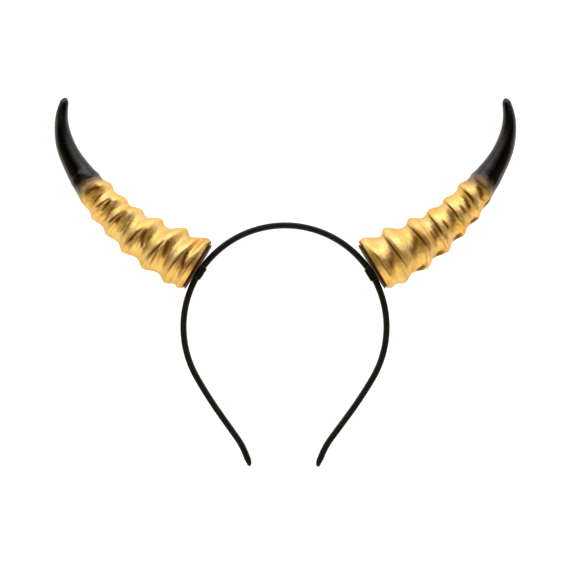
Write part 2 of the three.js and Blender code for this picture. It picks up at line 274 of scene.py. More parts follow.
def hornMaterial():
    material, add, shader = newMaterial("hornGoldPaint")
    straight, paintedCreaseShade, paintedShade, spray = [add("ShaderNodeAttribute", attribute_name=name)
                                     for name in ("straight", "paintedCreaseShade", "paintedShade", "spray")]
    brushed = addBrushed(add, straight.outputs["Vector"], {
        "Streak Pitch": goldPaint["streakPitch"], "Streak Length": goldPaint["streakLength"],
        "Grain Pitch": goldPaint["grainPitch"], "Dents": goldPaint["dents"]})

    # gold with deeper clouds, brown painted shade streaked into the slopes that face the base, at the rim and
    # in the notches underneath, and painted shade in the creases
    mottled = calc(add, "MULTIPLY_ADD", brushed["Streaks"], goldPaint["streaksInClouds"], brushed["Clouds"])
    cloudy = ramp(add, mottled, goldPaint["deepFrom"], goldPaint["deepTo"])
    gold = mixColours(add, cloudy, goldPaint["light"], goldPaint["deep"])
    centred = calc(add, "SUBTRACT", brushed["Streaks"], 0.5)
    streaked = calc(add, "MULTIPLY_ADD", centred, goldPaint["shadeStreaks"], paintedShade.outputs["Fac"])
    shadeShare = ramp(add, streaked, goldPaint["shadeFrom"], goldPaint["shadeTo"], kind="SMOOTHSTEP")
    brown = mixColours(add, shadeShare, gold, goldPaint["paintedShade"])
    # painted shade in the creases
    creaseShaded = mixColours(add, paintedCreaseShade.outputs["Fac"], brown, goldPaint["paintedCreaseShade"])

    # the tip is sprayed black, with a sooty edge that is uneven
    edge = noise(add, straight.outputs["Vector"], tipSpray["unevenScale"], tipSpray["unevenDetail"])
    uneven = calc(add, "MULTIPLY_ADD", edge, tipSpray["uneven"], spray.outputs["Fac"])
    low = tipSpray["starts"] + tipSpray["uneven"] / 2
    high = tipSpray["ends"] + tipSpray["uneven"] / 2
    sooty = ramp(add, uneven, low, high - tipSpray["sootEndsBefore"], kind="SMOOTHSTEP")
    black = ramp(add, uneven, low + tipSpray["blackStartsAfter"], high, kind="SMOOTHSTEP")
    sooted = mixColours(add, sooty, creaseShaded, tipSpray["soot"])

    streaky = ramp(add, brushed["Streaks"], paintPattern["least"], paintPattern["most"],
                   goldPaint["roughness"] - goldPaint["roughnessSpread"],
                   goldPaint["roughness"] + goldPaint["roughnessSpread"])
    rough = add("ShaderNodeMix", {0: black, 2: streaky, 3: tipSpray["roughness"]})
    height = calc(add, "MULTIPLY", brushed["Height"], ramp(add, black, 0.0, 1.0, 1.0, tipSpray["bump"]))
    bump = add("ShaderNodeBump", {"Height": height, "Distance": goldPaint["bumpDepth"], "Strength": 1.0})
    setInputs(material.node_tree, shader, {
        "Base Color": mixColours(add, black, sooted, tipSpray["black"]),
        "Metallic": ramp(add, sooty, 0.0, 1.0, goldPaint["metal"], 0.0),
        "Roughness": rough.outputs[0],
        "Normal": bump.outputs[0],
        "Coat Weight": ramp(add, black, 0.0, 1.0, goldPaint["coat"], 0.0),
        "Specular IOR Level": ramp(add, black, 0.0, 1.0, goldPaint["specular"], tipSpray["specular"]),
        "Specular Tint": mixColours(add, sooty, goldPaint["edgeTint"], (1, 1, 1, 1)),
    })
    shader.inputs["Coat Roughness"].default_value = goldPaint["coatRoughness"]
    return material


blackPlastic = {
    "colour": (0.005, 0.005, 0.0055, 1), "dusty": (0.011, 0.011, 0.0115, 1), "roughness": 0.4,
    "clipSmoother": 0.1, "streakPitch": 3.0, "streakLength": 5.0, "grainPitch": 0.4, "bumpDepth": 0.00002,
    "smoother": 0.04, "rougher": 0.06, "ior": 1.3, "specular": 0.8,
}


def blackMaterial(name, roughness):
    material, add, shader = newMaterial(name)
    brushed = addBrushed(add, placeInMm(add), {
        "Streak Pitch": blackPlastic["streakPitch"], "Streak Length": blackPlastic["streakLength"],
        "Grain Pitch": blackPlastic["grainPitch"]})
    bump = add("ShaderNodeBump", {"Height": brushed["Height"], "Distance": blackPlastic["bumpDepth"]})
    setInputs(material.node_tree, shader, {
        "Base Color": mixColours(add, brushed["Clouds"], blackPlastic["colour"], blackPlastic["dusty"]),
        "Roughness": ramp(add, brushed["Clouds"], paintPattern["least"], paintPattern["most"],
                          roughness - blackPlastic["smoother"], roughness + blackPlastic["rougher"]),
        "Normal": bump.outputs[0],
    })
    shader.inputs["IOR"].default_value = blackPlastic["ior"]
    shader.inputs["Specular IOR Level"].default_value = blackPlastic["specular"]
    return material


# the plate is coloured far darker than its own tan: painted shade for the gap between the horn and the band
plateShadeLook = {
    "light": (0.11, 0.063, 0.024, 1), "dark": (0.055, 0.032, 0.012, 1), "bumpDepth": 0.00006, "metal": 0.8,
    "roughness": 0.5, "specular": 0.15,
}


def plateMaterial():
    material, add, shader = newMaterial("plateShadedGoldPaint")
    brushed = addBrushed(add, placeInMm(add), {})
    bump = add("ShaderNodeBump", {"Height": brushed["Height"], "Distance": plateShadeLook["bumpDepth"]})
    setInputs(material.node_tree, shader, {
        "Base Color": mixColours(add, brushed["Clouds"], plateShadeLook["light"], plateShadeLook["dark"]),
        "Normal": bump.outputs[0],
    })
    shader.inputs["Metallic"].default_value = plateShadeLook["metal"]
    shader.inputs["Roughness"].default_value = plateShadeLook["roughness"]
    shader.inputs["Specular IOR Level"].default_value = plateShadeLook["specular"]
    return material


goldOnHorn = hornMaterial()
bandBlack = blackMaterial("bandBlackPlastic", blackPlastic["roughness"])
clipBlack = blackMaterial("clipBlackPlastic", blackPlastic["roughness"] - blackPlastic["clipSmoother"])
plateShadedGold = plateMaterial()

print("stage: headband")
# each stretch: radius as a share of the arch's, turn in degrees, straight run as a share, steps
bandStretches = [(1, 120, 0, 90), (4.27, 6, 0, 8), (0, 0, 0.27, 6), (0.744, -22, 0, 16), (0, 0, 0.027, 2)]
# the blunt end of the band: shares of the full section, from its very end back
nib = {
    "length": 6.2, "rows": 22, "crowding": 0.8, "gap": 0.5, "roundEnd": 0.16, "leastShare": 0.0004,
    "back": (0, 0.15, 0.42, 0.76, 1), "inside": (0.44, 0.74, 0.98, 1.08, 1),
    "outside": (0.3, 0.46, 0.68, 0.92, 1), "deep": (0.5, 0.74, 0.93, 1, 1),
}


def halfBand():
    # x, y and heading in the upright plane, with the distance run
    rows = [(0.0, archRadius, 0.0, 0.0)]
    for radius, turn, straight, steps in bandStretches:
        turn = math.radians(turn)
        length = archRadius * (straight + radius * abs(turn))
        for _ in range(steps):
            x, y, heading, run = rows[-1]
            half = turn / steps / 2
            chord = length / steps * (math.sin(half) / half if half else 1)
            middle = heading + half
            rows.append((x + chord * math.cos(middle), y - chord * math.sin(middle), heading + 2 * half,
                         run + length / steps))
    return np.array(rows)


def bandStations():
    # x, y and heading from end to end, with the shares of the section inside, outside and in depth
    half = halfBand()
    length = half[-1, 3]
    plain = half[half[:, 3] < length - nib["length"] - nib["gap"]]
    back = 1 - gentle(np.linspace(0, 1, nib["rows"])) ** nib["crowding"]
    run = length - back * nib["length"]
    ends = np.stack([smoothTable(half[:, 3], half[:, i], run) for i in range(3)] + [run], axis=1)
    stations = np.vstack([plain, ends])
    nibBack = np.clip((length - stations[:, 3]) / nib["length"], 0, 1)
    blunt = np.sqrt(np.clip(1 - (1 - np.clip(nibBack / nib["roundEnd"], 0, 1)) ** 2, nib["leastShare"], 1))
    shares = [smoothTable(nib["back"], nib[key], nibBack) * blunt for key in ("inside", "outside", "deep")]
    table = np.column_stack([stations[:, :3], *shares])
    mirrored = table[:0:-1] * np.array([-1, 1, -1, 1, 1, 1])
    return np.vstack([mirrored, table])


def newShapeTree(name, sizes):
    # a Geometry Nodes tree with these sizes and a material as its inputs
    tree = bpy.data.node_groups.new(name, "GeometryNodeTree")
    tree.interface.new_socket("Geometry", in_out="INPUT", socket_type="NodeSocketGeometry")
    for label in sizes:
        tree.interface.new_socket(label, in_out="INPUT", socket_type="NodeSocketFloat")
    tree.interface.new_socket("Material", in_out="INPUT", socket_type="NodeSocketMaterial")
    tree.interface.new_socket("Geometry", in_out="OUTPUT", socket_type="NodeSocketGeometry")
    add = nodeTool(tree)
    given = tree.nodes.new("NodeGroupInput").outputs

    def named(label, kind="FLOAT"):
        return add("GeometryNodeInputNamedAttribute", {"Name": label}, data_type=kind).outputs[0]

    def finish(shape):
        real = add("GeometryNodeRealizeInstances", {0: shape.outputs[0]})
        painted = add("GeometryNodeSetMaterial", {0: real.outputs[0], "Material": given["Material"]})
        add("NodeGroupOutput", {0: painted.outputs[0]})
        return tree

    return add, given, named, finish


def bandSweepTree():
    # sweeps a rounded section along the path, and lets each station widen or flatten it
    add, given, named, finish = newShapeTree("bandSweep", ("Thickness", "Depth", "Corner"))
    path = add("GeometryNodeMeshToCurve", {0: given["Geometry"]})
    section = add("GeometryNodeCurvePrimitiveQuadrilateral", {
        "Width": given["Thickness"], "Height": given["Depth"]})
    rounded = add("GeometryNodeFilletCurve", {
        "Curve": section.outputs[0], "Radius": given["Corner"], "Limit Radius": True,
        "Count": arch["cornerSteps"]}, mode="POLY")
    place = add("ShaderNodeSeparateXYZ", {0: add("GeometryNodeInputPosition").outputs[0]})
    stored = rounded
    for label, axis in (("across", "X"), ("high", "Y")):
        stored = add("GeometryNodeStoreNamedAttribute", {
            "Geometry": stored.outputs[0], "Name": label, "Value": place.outputs[axis]},
            data_type="FLOAT", domain="POINT")
    swept = add("GeometryNodeCurveToMesh", {
        "Curve": path.outputs[0], "Profile Curve": stored.outputs[0], "Fill Caps": True})
    isOutside = add("FunctionNodeCompare", {0: named("across"), 1: 0.0}, data_type="FLOAT",
                    operation="GREATER_THAN")
    share = add("GeometryNodeSwitch", {0: isOutside.outputs[0], 1: named("inside"), 2: named("outside")},
                input_type="FLOAT")
    reach = calc(add, "MULTIPLY", named("across"), share.outputs[0])
    rise = calc(add, "MULTIPLY", named("high"), named("deep"))
    sideways = scaled(add, named("outwards", "FLOAT_VECTOR"), reach)
    upwards = scaled(add, named("upwards", "FLOAT_VECTOR"), rise)
    moved = summed(add, summed(add, named("centre", "FLOAT_VECTOR"), sideways), upwards)
    return finish(add("GeometryNodeSetPosition", {"Geometry": swept.outputs[0], "Position": moved}))


def pointVectors(mesh, name, values):
    layer = mesh.attributes.new(name, "FLOAT_VECTOR", "POINT")
    layer.data.foreach_set("vector", np.asarray(values, np.float32).ravel())


def pointFloats(mesh, name, values):
    layer = mesh.attributes.new(name, "FLOAT", "POINT")
    layer.data.foreach_set("value", np.asarray(values, np.float32).ravel())


def bakeTree(name, mesh, tree, values):
    # the tree's result as a plain mesh in a piece of its own
    carrier = newPiece(name + "Carrier", mesh)
    modifier = carrier.modifiers.new("shape", "NODES")
    modifier.node_group = tree
    for item in tree.interface.items_tree:
        if item.in_out == "INPUT" and item.name in values:
            modifier[item.identifier] = values[item.name]
    graph = bpy.context.evaluated_depsgraph_get()
    graph.update()
    made = bpy.data.meshes.new_from_object(carrier.evaluated_get(graph), depsgraph=graph)
    bpy.data.objects.remove(carrier)
    made.name = name
    return made


def makeBand():
    rows = bandStations()
    zero = np.zeros(len(rows))
    heading = rows[:, 2]
    centre = layDown(np.column_stack([rows[:, 0], rows[:, 1], zero]))
    path = bpy.data.meshes.new("bandPath")
    path.from_pydata(centre.tolist(), [(i, i + 1) for i in range(len(rows) - 1)], [])
    outwards = np.column_stack([np.sin(heading), np.cos(heading), zero]) @ layTurn.T
    pointVectors(path, "centre", centre)
    pointVectors(path, "outwards", outwards)
    pointVectors(path, "upwards", np.tile(layTurn[:, 2], (len(rows), 1)))
    for column, key in enumerate(("inside", "outside", "deep")):
        pointFloats(path, key, rows[:, 3 + column])
    mesh = bakeTree("band", path, bandSweepTree(), {
        "Thickness": (arch["thickness"] + arch["swell"]) * mm, "Depth": arch["depth"] * mm,
        "Corner": arch["corner"] * mm, "Material": bandBlack})
    work = bmesh.new()
    work.from_mesh(mesh)
    bmesh.ops.remove_doubles(work, verts=work.verts, dist=mergeReach)
    work.to_mesh(mesh)
    work.free()
    keepInBox(mesh)
    faceOutwards(mesh)
    for label in ("centre", "outwards", "upwards", "inside", "outside", "deep", "across", "high"):
        if label in mesh.attributes:
            mesh.attributes.remove(mesh.attributes[label])
    piece = newPiece("bandArch", mesh)
    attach(piece, "root")
    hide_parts("headband")


makeBand()

print("stage: horns")
# lengths in millimetres; a place on a horn is its run from the base and its round, a share of a full turn:
# 0 is the top, 0.25 shows on the left horn, 0.5 is the underside and 0.75 shows on the right horn
horn = {
    "length": 144.2, "radius": 16.8, "wall": 1.6, "innerRidge": 0.5, "rimRound": 1.0, "settles": 20.0,
    "shellEnd": 127.2, "tipFrom": 112.0, "tipRound": 3.4, "sprayLean": 2.0,
    "sides": 216, "rings": 336, "tipRings": 60, "innerRings": 40, "axisSteps": 720,
    "rimSteps": (0, 0.03, 0.1, 0.2, 0.33, 0.5, 0.72),
}
# the share of the length and the heading in degrees
hornBends = np.array([
    (0, -9), (0.103, -5.2), (0.24, 0.9), (0.378, 9.4), (0.515, 17.8), (0.653, 24.2), (0.756, 34),
    (0.838, 47.1), (0.907, 60.6), (1, 79)])
# the share of the length and the share of the base's radius
hornSections = np.array([
    (0, 0.98), (0.07, 0.915), (0.15, 0.842), (0.22, 0.79), (0.31, 0.712), (0.4, 0.652), (0.49, 0.602),
    (0.56, 0.566), (0.62, 0.515), (0.7, 0.436), (0.79, 0.354), (0.87, 0.278), (0.94, 0.208), (0.972, 0.172),
    (1, 0.138)])
# the winding ridge: place and height of its crest at rounds 0, 0.25, 0.5 and 0.75 of each turn
lipRidge = {"at": (0.008, 0.038, 0.026, 0.04), "height": (0.12, 0.06, 0.06, 0.06)}
ridgeTurns = np.array([
    ((0.035, 0.086, 0.098, 0.124), (0.09, 0.15, 0.15, 0.19)),
    ((0.117, 0.182, 0.199, 0.247), (0.235, 0.18, 0.17, 0.19)),
    ((0.243, 0.292, 0.302, 0.33), (0.188, 0.145, 0.16, 0.13)),
    ((0.346, 0.402, 0.392, 0.426), (0.12, 0.12, 0.105, 0.11)),
    ((0.436, 0.481, 0.476, 0.522), (0.1, 0.1, 0.095, 0.095)),
    ((0.532, 0.57, 0.557, 0.598), (0.095, 0.07, 0.045, 0.065)),
    ((0.608, 0.639, 0.632, 0.673), (0.03, 0.03, 0.012, 0.0)),
])
# by round: how far the ridge's slopes reach towards the last crest and the next, and how full they are
ridgeSlopes = {
    "round": (-0.25, 0, 0.25, 0.5, 0.75, 1, 1.25),
    "rise": (0.44, 0.32, 0.62, 0.56, 0.44, 0.32, 0.62),
    "fall": (0.56, 0.55, 0.44, 0.36, 0.56, 0.55, 0.44),
    "riseFull": (0.9, 1.4, 1.5, 1.4, 0.9, 1.4, 1.5),
    "fallFull": (1.3, 1.6, 1.3, 1.0, 1.3, 1.6, 1.3),
}
crestRound = 0.14


def crestTable(rounds):
    # places and heights of the crests, the lip first, on each line along the horn
    quarters = np.arange(-1, 6) / 4
    lip = [smoothTable(quarters, np.array(lipRidge[key])[np.arange(-1, 6) % 4], rounds)
           for key in ("at", "height")]
    places = np.arange(ridgeTurns.shape[0] * 4) / 4
    at, height = [lip[0]], [lip[1]]
    for turn in range(len(ridgeTurns)):
        at.append(smoothTable(places, ridgeTurns[:, 0].ravel(), turn + rounds))
        height.append(np.maximum(smoothTable(places, ridgeTurns[:, 1].ravel(), turn + rounds), 0))
    return np.array(at) * horn["length"], np.array(height) * horn["radius"]


def roundedCrest(x):
    # takes the point off the crest, and leaves 0 and 1 where they are
    return (np.sqrt(x ** 2 + crestRound ** 2) - crestRound) / (math.sqrt(1 + crestRound ** 2) - crestRound)


def ridgeHeights(runs, rounds):
    at, height = crestTable(rounds)
    slope = {key: smoothTable(ridgeSlopes["round"], ridgeSlopes[key], rounds)
             for key in ("rise", "fall", "riseFull", "fallFull")}
    raised = np.zeros((len(runs), len(rounds)))
    for i in range(len(at)):
        before = at[i] - at[i - 1] if i else at[1] - at[0]
        after = at[i + 1] - at[i] if i + 1 < len(at) else before
        gap = runs[:, None] - at[i][None, :]
        rising = gap < 0
        width = np.where(rising, before * slope["rise"], after * slope["fall"])
        full = np.where(rising, slope["riseFull"], slope["fallFull"])
        x = roundedCrest(np.minimum(np.abs(gap) / np.maximum(width, 0.01), 1))
        raised = np.maximum(raised, height[i] * (1 - x) ** 2 * (1 + full * x))
    return raised


# folds between the turns: from round and run, to round and run, height, and how far each spreads
# towards the base and towards the tip
lesserFolds = [
    (0.16, 9.0, 0.46, 10.6, 0.75, 2.0, 1.5), (0.16, 23.2, 0.48, 24.4, 1.0, 2.2, 1.5),
    (0.16, 39.6, 0.48, 39.2, 1.0, 2.4, 1.6), (0.17, 35.0, 0.36, 34.6, 0.35, 0.9, 1.0),
    (0.15, 56.2, 0.44, 57.2, 0.8, 1.9, 1.1), (0.18, 49.8, 0.38, 49.6, 0.3, 0.9, 1.2),
    (0.16, 69.0, 0.42, 69.2, 0.6, 1.5, 0.9), (0.18, 65.0, 0.40, 64.4, 0.4, 0.9, 1.0),
    (0.16, 75.6, 0.36, 75.4, 0.35, 0.9, 0.9), (0.13, 80.6, 0.34, 82.6, 0.45, 1.6, 0.9),
    (0.62, 36.8, 0.92, 37.6, 0.45, 0.9, 1.2), (0.66, 52.4, 0.82, 52.8, 0.35, 1.0, 1.4),
    (0.66, 66.8, 0.82, 67.2, 0.35, 1.0, 1.4), (0.68, 71.8, 0.82, 72.0, 0.3, 0.9, 0.9),
    (0.58, 14.4, 0.74, 16.4, 0.25, 0.8, 1.2), (0.60, 29.4, 0.70, 32.2, 0.2, 0.8, 1.0),
    (0.58, 42.6, 0.69, 45.0, 0.2, 0.8, 1.0),
    (0.84, 3.8, 1.16, 3.8, 0.9, 2.4, 2.4), (0.40, 9.6, 0.62, 9.6, 0.9, 2.6, 2.6),
]
# fine creases, sunk into the skin and darkened with painted shade: the rounds and runs that each passes
# through, and its depth
creaseLines = [
    ((0.66, 0.72, 0.79, 0.87, 0.96), (18.6, 17.2, 15.5, 14.4, 13.6), 0.42),
    ((0.52, 0.58, 0.66, 0.74), (13.6, 14.8, 15.4, 15.4), 0.22),
    ((0.66, 0.72, 0.79, 0.87, 0.97), (35.2, 34.4, 33.2, 31.9, 31.2), 0.45),
    ((0.55, 0.60, 0.66, 0.70), (28.8, 29.4, 31.2, 33.4), 0.22),
    ((0.66, 0.73, 0.80, 0.88, 0.97), (46.3, 46.4, 46.6, 46.9, 47.6), 0.4),
    ((0.56, 0.61, 0.66, 0.70), (42.6, 43.4, 44.4, 45.8), 0.2),
    ((0.65, 0.72, 0.80, 0.88, 0.97), (59.8, 60.1, 60.5, 60.8, 61.4), 0.36),
    ((0.66, 0.72, 0.79, 0.87, 0.96), (72.6, 73.2, 74.0, 74.9, 75.8), 0.32),
    ((0.64, 0.71, 0.79, 0.86, 0.93), (84.8, 84.7, 84.4, 84.8, 85.5), 0.26),
    ((0.15, 0.20, 0.26, 0.31, 0.36), (9.2, 10.7, 12.4, 13.4, 14.0), 0.22),
    ((0.15, 0.20, 0.26, 0.31, 0.37), (23.6, 25.0, 26.8, 28.0, 29.6), 0.3),
    ((0.21, 0.27, 0.33, 0.39), (25.2, 25.5, 25.6, 26.0), 0.2),
    ((0.16, 0.21, 0.27, 0.33, 0.40), (40.2, 41.2, 42.4, 43.4, 44.4), 0.26),
    ((0.17, 0.23, 0.30, 0.38), (56.8, 58.2, 59.3, 60.0), 0.2),
    ((0.17, 0.22, 0.28, 0.34), (69.4, 70.1, 70.4, 70.5), 0.2),
    ((0.10, 0.17, 0.24, 0.30, 0.38), (86.8, 87.3, 88.2, 87.2, 86.0), 0.35),
    ((0.16, 0.21, 0.26, 0.31, 0.36), (2.2, 3.2, 4.2, 4.7, 4.9), 0.3),
    ((0.64, 0.69, 0.73, 0.78, 0.84), (6.3, 6.1, 5.4, 4.4, 3.0), 0.35),
]
# how deep the base's bevel is, and how far it reaches at each round; it is at full depth where it is wide
bevel = {
    "depth": 1.0, "fullAt": 5.0,
    "rounds": (0, 0.12, 0.21, 0.27, 0.33, 0.42, 0.55, 0.64, 0.69, 0.78, 0.84, 0.92, 1),
    "runs": (2.6, 2.8, 3.4, 4.2, 4.8, 3.5, 4.5, 6.2, 6.1, 4.4, 3.2, 2.7, 2.6),
}
# how wide the creases are, how they fade at their ends, and how strongly they and the strongest strokes are
# darkened with painted shade
creaseLook = {"spread": 0.6, "dark": 1.5, "overShade": 1.8, "fade": (0.3, 0.25)}
foldFade = (0.4, 0.35)


def endsFade(share, fade):
    # fades a stroke in over its first share of the way and out over its last
    return gentle(share / fade[0]) * gentle((1 - share) / fade[1])


def lesserHeights(runs, rounds):
    raised = np.zeros((len(runs), len(rounds)))
    for roundFrom, runFrom, roundTo, runTo, height, baseSpread, tipSpread in lesserFolds:
        share = np.mod(rounds - roundFrom, 1) / (roundTo - roundFrom)
        fade = endsFade(share, foldFade)
        gap = runs[:, None] - (runFrom + (runTo - runFrom) * np.clip(share, 0, 1))[None, :]
        raised += height * fade[None, :] * np.exp(-(gap / np.where(gap < 0, baseSpread, tipSpread)) ** 2)
    return raised


def bevelHeights(runs, rounds):
    # the base's edge falls away to the rim
    reach = smoothTable(bevel["rounds"], bevel["runs"], rounds)[None, :]
    return -bevel["depth"] * np.clip(1 - runs[:, None] / reach, 0, 1) * gentle(reach / bevel["fullAt"])


def grooveDepths(runs, rounds):
    depths = np.zeros((len(runs), len(rounds)))
    for lineRounds, lineRuns, depth in creaseLines:
        share = (rounds - lineRounds[0]) / (lineRounds[-1] - lineRounds[0])
        fade = endsFade(share, creaseLook["fade"])
        line = smoothTable(lineRounds, lineRuns, np.clip(rounds, lineRounds[0], lineRounds[-1]))
        cut = np.exp(-((runs[:, None] - line[None, :]) / creaseLook["spread"]) ** 2)
        depths = np.maximum(depths, depth * fade[None, :] * cut)
    return depths


# brown painted shade, laid as strokes: the rounds and runs that each passes through, how far it spreads
# towards the base and towards the tip, and its strength
shadeStrokes = [
    ((0.15, 0.19, 0.24, 0.28, 0.33), (8.9, 8.8, 8.3, 7.6, 5.2), 1.2, 1.1, 1.0),
    ((0.16, 0.20, 0.25, 0.30, 0.35), (9.6, 10.6, 12.0, 13.1, 14.2), 0.5, 0.5, 0.75),
    ((0.17, 0.22, 0.27, 0.32), (2.2, 3.3, 4.4, 5.0), 0.6, 0.5, 0.7),
    ((0.15, 0.19, 0.23, 0.28, 0.33), (22.8, 22.2, 21.5, 20.8, 20.0), 1.4, 1.3, 1.0),
    ((0.16, 0.20, 0.25, 0.30, 0.36), (23.6, 24.8, 26.4, 27.8, 29.2), 0.7, 0.6, 0.85),
    ((0.22, 0.27, 0.32, 0.37), (25.0, 25.4, 25.6, 25.7), 0.4, 0.4, 0.6),
    ((0.17, 0.22, 0.27, 0.32), (33.9, 34.2, 33.9, 33.4), 0.6, 0.6, 0.7),
    ((0.15, 0.19, 0.23, 0.27, 0.31, 0.36), (39.2, 38.6, 38.0, 36.8, 34.6, 31.8), 1.4, 1.4, 1.0),
    ((0.16, 0.20, 0.25, 0.30, 0.38), (40.2, 41.0, 41.8, 42.6, 44.2), 0.9, 0.9, 0.9),
    ((0.20, 0.26, 0.31, 0.36), (48.3, 48.7, 48.5, 48.2), 0.8, 0.7, 0.5),
    ((0.24, 0.29, 0.33, 0.37), (51.5, 51.8, 52.2, 52.6), 2.6, 2.4, 0.35),
    ((0.13, 0.18, 0.23, 0.28, 0.33), (55.6, 56.6, 57.2, 55.8, 54.2), 1.5, 1.5, 1.15),
    ((0.20, 0.25, 0.30, 0.36), (57.8, 58.5, 59.3, 60.0), 0.8, 0.6, 1.15),
    ((0.17, 0.22, 0.28, 0.34), (63.4, 63.8, 63.7, 63.3), 0.7, 0.8, 0.7),
    ((0.14, 0.18, 0.23, 0.28, 0.34), (69.0, 68.6, 67.9, 67.4, 66.8), 1.0, 0.9, 1.15),
    ((0.14, 0.19, 0.24, 0.29, 0.35), (69.4, 69.9, 70.3, 70.5, 70.5), 0.7, 0.7, 1.15),
    ((0.17, 0.22, 0.28, 0.35), (74.4, 74.7, 74.6, 74.3), 0.6, 0.6, 0.75),
    ((0.14, 0.18, 0.23, 0.28, 0.36), (79.8, 80.6, 82.0, 82.0, 80.6), 2.2, 1.8, 1.15),
    ((0.13, 0.18, 0.24, 0.29, 0.36), (87.1, 87.6, 88.2, 87.6, 86.4), 1.3, 0.9, 1.05),
    ((0.65, 0.70, 0.74, 0.78, 0.83), (8.0, 9.4, 11.4, 13.2, 14.4), 2.6, 1.8, 0.62),
    ((0.67, 0.72, 0.77, 0.83, 0.92), (18.2, 17.2, 16.0, 14.9, 14.3), 0.9, 0.8, 0.85),
    ((0.68, 0.72, 0.76, 0.80, 0.84), (24.6, 26.2, 28.8, 31.2, 32.4), 2.8, 2.2, 0.68),
    ((0.67, 0.72, 0.77, 0.82, 0.92), (34.6, 34.4, 33.8, 32.8, 31.9), 1.0, 0.9, 0.95),
    ((0.65, 0.72, 0.80, 0.90), (36.4, 36.7, 36.8, 36.7), 0.6, 0.6, 0.35),
    ((0.68, 0.72, 0.77, 0.81), (40.8, 41.0, 41.2, 41.3), 0.8, 0.8, 0.7),
    ((0.68, 0.72, 0.77, 0.81), (43.0, 43.6, 44.2, 45.0), 1.0, 1.0, 0.7),
    ((0.67, 0.73, 0.79, 0.86, 0.94), (46.2, 46.4, 46.7, 46.9, 47.1), 0.8, 0.6, 1.0),
    ((0.68, 0.72, 0.77, 0.82), (50.8, 51.2, 51.4, 51.6), 0.9, 0.8, 0.9),
    ((0.68, 0.73, 0.78, 0.83), (55.8, 57.2, 58.2, 59.4), 1.7, 1.5, 0.68),
    ((0.67, 0.74, 0.82, 0.92), (60.0, 60.3, 60.8, 61.2), 0.6, 0.6, 0.9),
    ((0.67, 0.72, 0.77, 0.82), (64.6, 65.2, 65.7, 66.4), 1.2, 1.0, 0.8),
    ((0.67, 0.72, 0.77, 0.84), (68.6, 69.6, 70.6, 72.0), 1.0, 1.0, 0.9),
    ((0.66, 0.71, 0.76, 0.81, 0.90), (72.6, 73.4, 74.3, 75.0, 76.0), 0.9, 0.9, 1.0),
    ((0.63, 0.68, 0.74, 0.79, 0.84), (78.6, 79.8, 81.6, 83.0, 84.2), 2.0, 1.6, 0.95),
    ((0.66, 0.72, 0.80, 0.92), (84.2, 84.8, 85.0, 85.7), 0.9, 0.8, 1.0),
    ((0.46, 0.53, 0.57, 0.61), (21.8, 24.0, 26.4, 28.8), 1.5, 1.8, 1.45),
    ((0.46, 0.53, 0.57, 0.61), (36.4, 38.0, 39.0, 39.8), 2.4, 1.9, 1.4),
    ((0.47, 0.54, 0.58, 0.62), (50.2, 51.8, 53.2, 54.6), 1.9, 2.3, 1.45),
    ((0.46, 0.53, 0.57, 0.61), (64.0, 65.2, 66.4, 67.6), 2.4, 2.0, 1.4),
    ((0.46, 0.53, 0.57, 0.61), (77.4, 78.4, 79.0, 79.6), 2.0, 1.7, 1.4),
]
# the painted shade that a slope takes where it faces the base, and the painted shadow line at the rim
paintedShadeLook = {
    "rounds": (0, 0.12, 0.17, 0.3, 0.36, 0.66, 0.72, 0.78, 0.84, 1),
    "amount": (0, 0.1, 0.42, 0.48, 0.15, 0.1, 0.4, 0.35, 0.1, 0),
    "slopeLow": 0.15, "slopeHigh": 0.6, "startsAt": 2.0, "startsOver": 4.0,
    "rim": 1.0, "rimRun": 0.6, "rimFade": 0.9, "spread": 1.3, "fade": (0.3, 0.35),
}


def paintedShadeAmount(runs, rounds, heights):
    slope = np.gradient(heights, runs, axis=0)
    taken = gentle((slope - paintedShadeLook["slopeLow"]) / (paintedShadeLook["slopeHigh"] - paintedShadeLook["slopeLow"]))
    byRound = np.interp(rounds, paintedShadeLook["rounds"], paintedShadeLook["amount"])[None, :]
    amount = taken * byRound * gentle((runs - paintedShadeLook["startsAt"]) / paintedShadeLook["startsOver"])[:, None]
    for lineRounds, lineRuns, baseSpread, tipSpread, strength in shadeStrokes:
        share = (rounds - lineRounds[0]) / (lineRounds[-1] - lineRounds[0])
        fade = endsFade(share, paintedShadeLook["fade"])
        line = smoothTable(lineRounds, lineRuns, np.clip(rounds, lineRounds[0], lineRounds[-1]))
        gap = runs[:, None] - line[None, :]
        spread = np.where(gap < 0, baseSpread, tipSpread) * paintedShadeLook["spread"]
        amount = np.maximum(amount, strength * fade[None, :] * np.exp(-(gap / spread) ** 2))
    atRim = 1 - gentle((runs - paintedShadeLook["rimRun"]) / paintedShadeLook["rimFade"])
    return np.maximum(amount, paintedShadeLook["rim"] * atRim[:, None])


# smooth unevenness that joins up round the horn: pitches are radians per millimetre
skinWaves = {
    "broad": {"seed": 5, "count": 14, "alongLeast": 0.25, "alongMost": 0.9, "roundMost": 7, "height": 0.09},
    "fine": {"seed": 9, "count": 16, "alongLeast": 0.25, "alongMost": 2.4, "roundMost": 5, "height": 0.035},
    "tip": {"seed": 12, "count": 6, "alongLeast": 0.25, "alongMost": 0.3, "roundMost": 4, "height": 0.05},
}


def waves(runs, rounds, which):
    values = skinWaves[which]
    random = np.random.default_rng(values["seed"])
    field = np.zeros((len(runs), len(rounds)))
    for _ in range(values["count"]):
        pitch = random.uniform(values["alongLeast"], values["alongMost"])
        turns = random.integers(0, values["roundMost"])
        phase = random.uniform(0, 2 * math.pi)
        field += np.sin(pitch * runs[:, None] + turns * 2 * math.pi * rounds[None, :] + phase)
    return values["height"] * (field / math.sqrt(values["count"]))


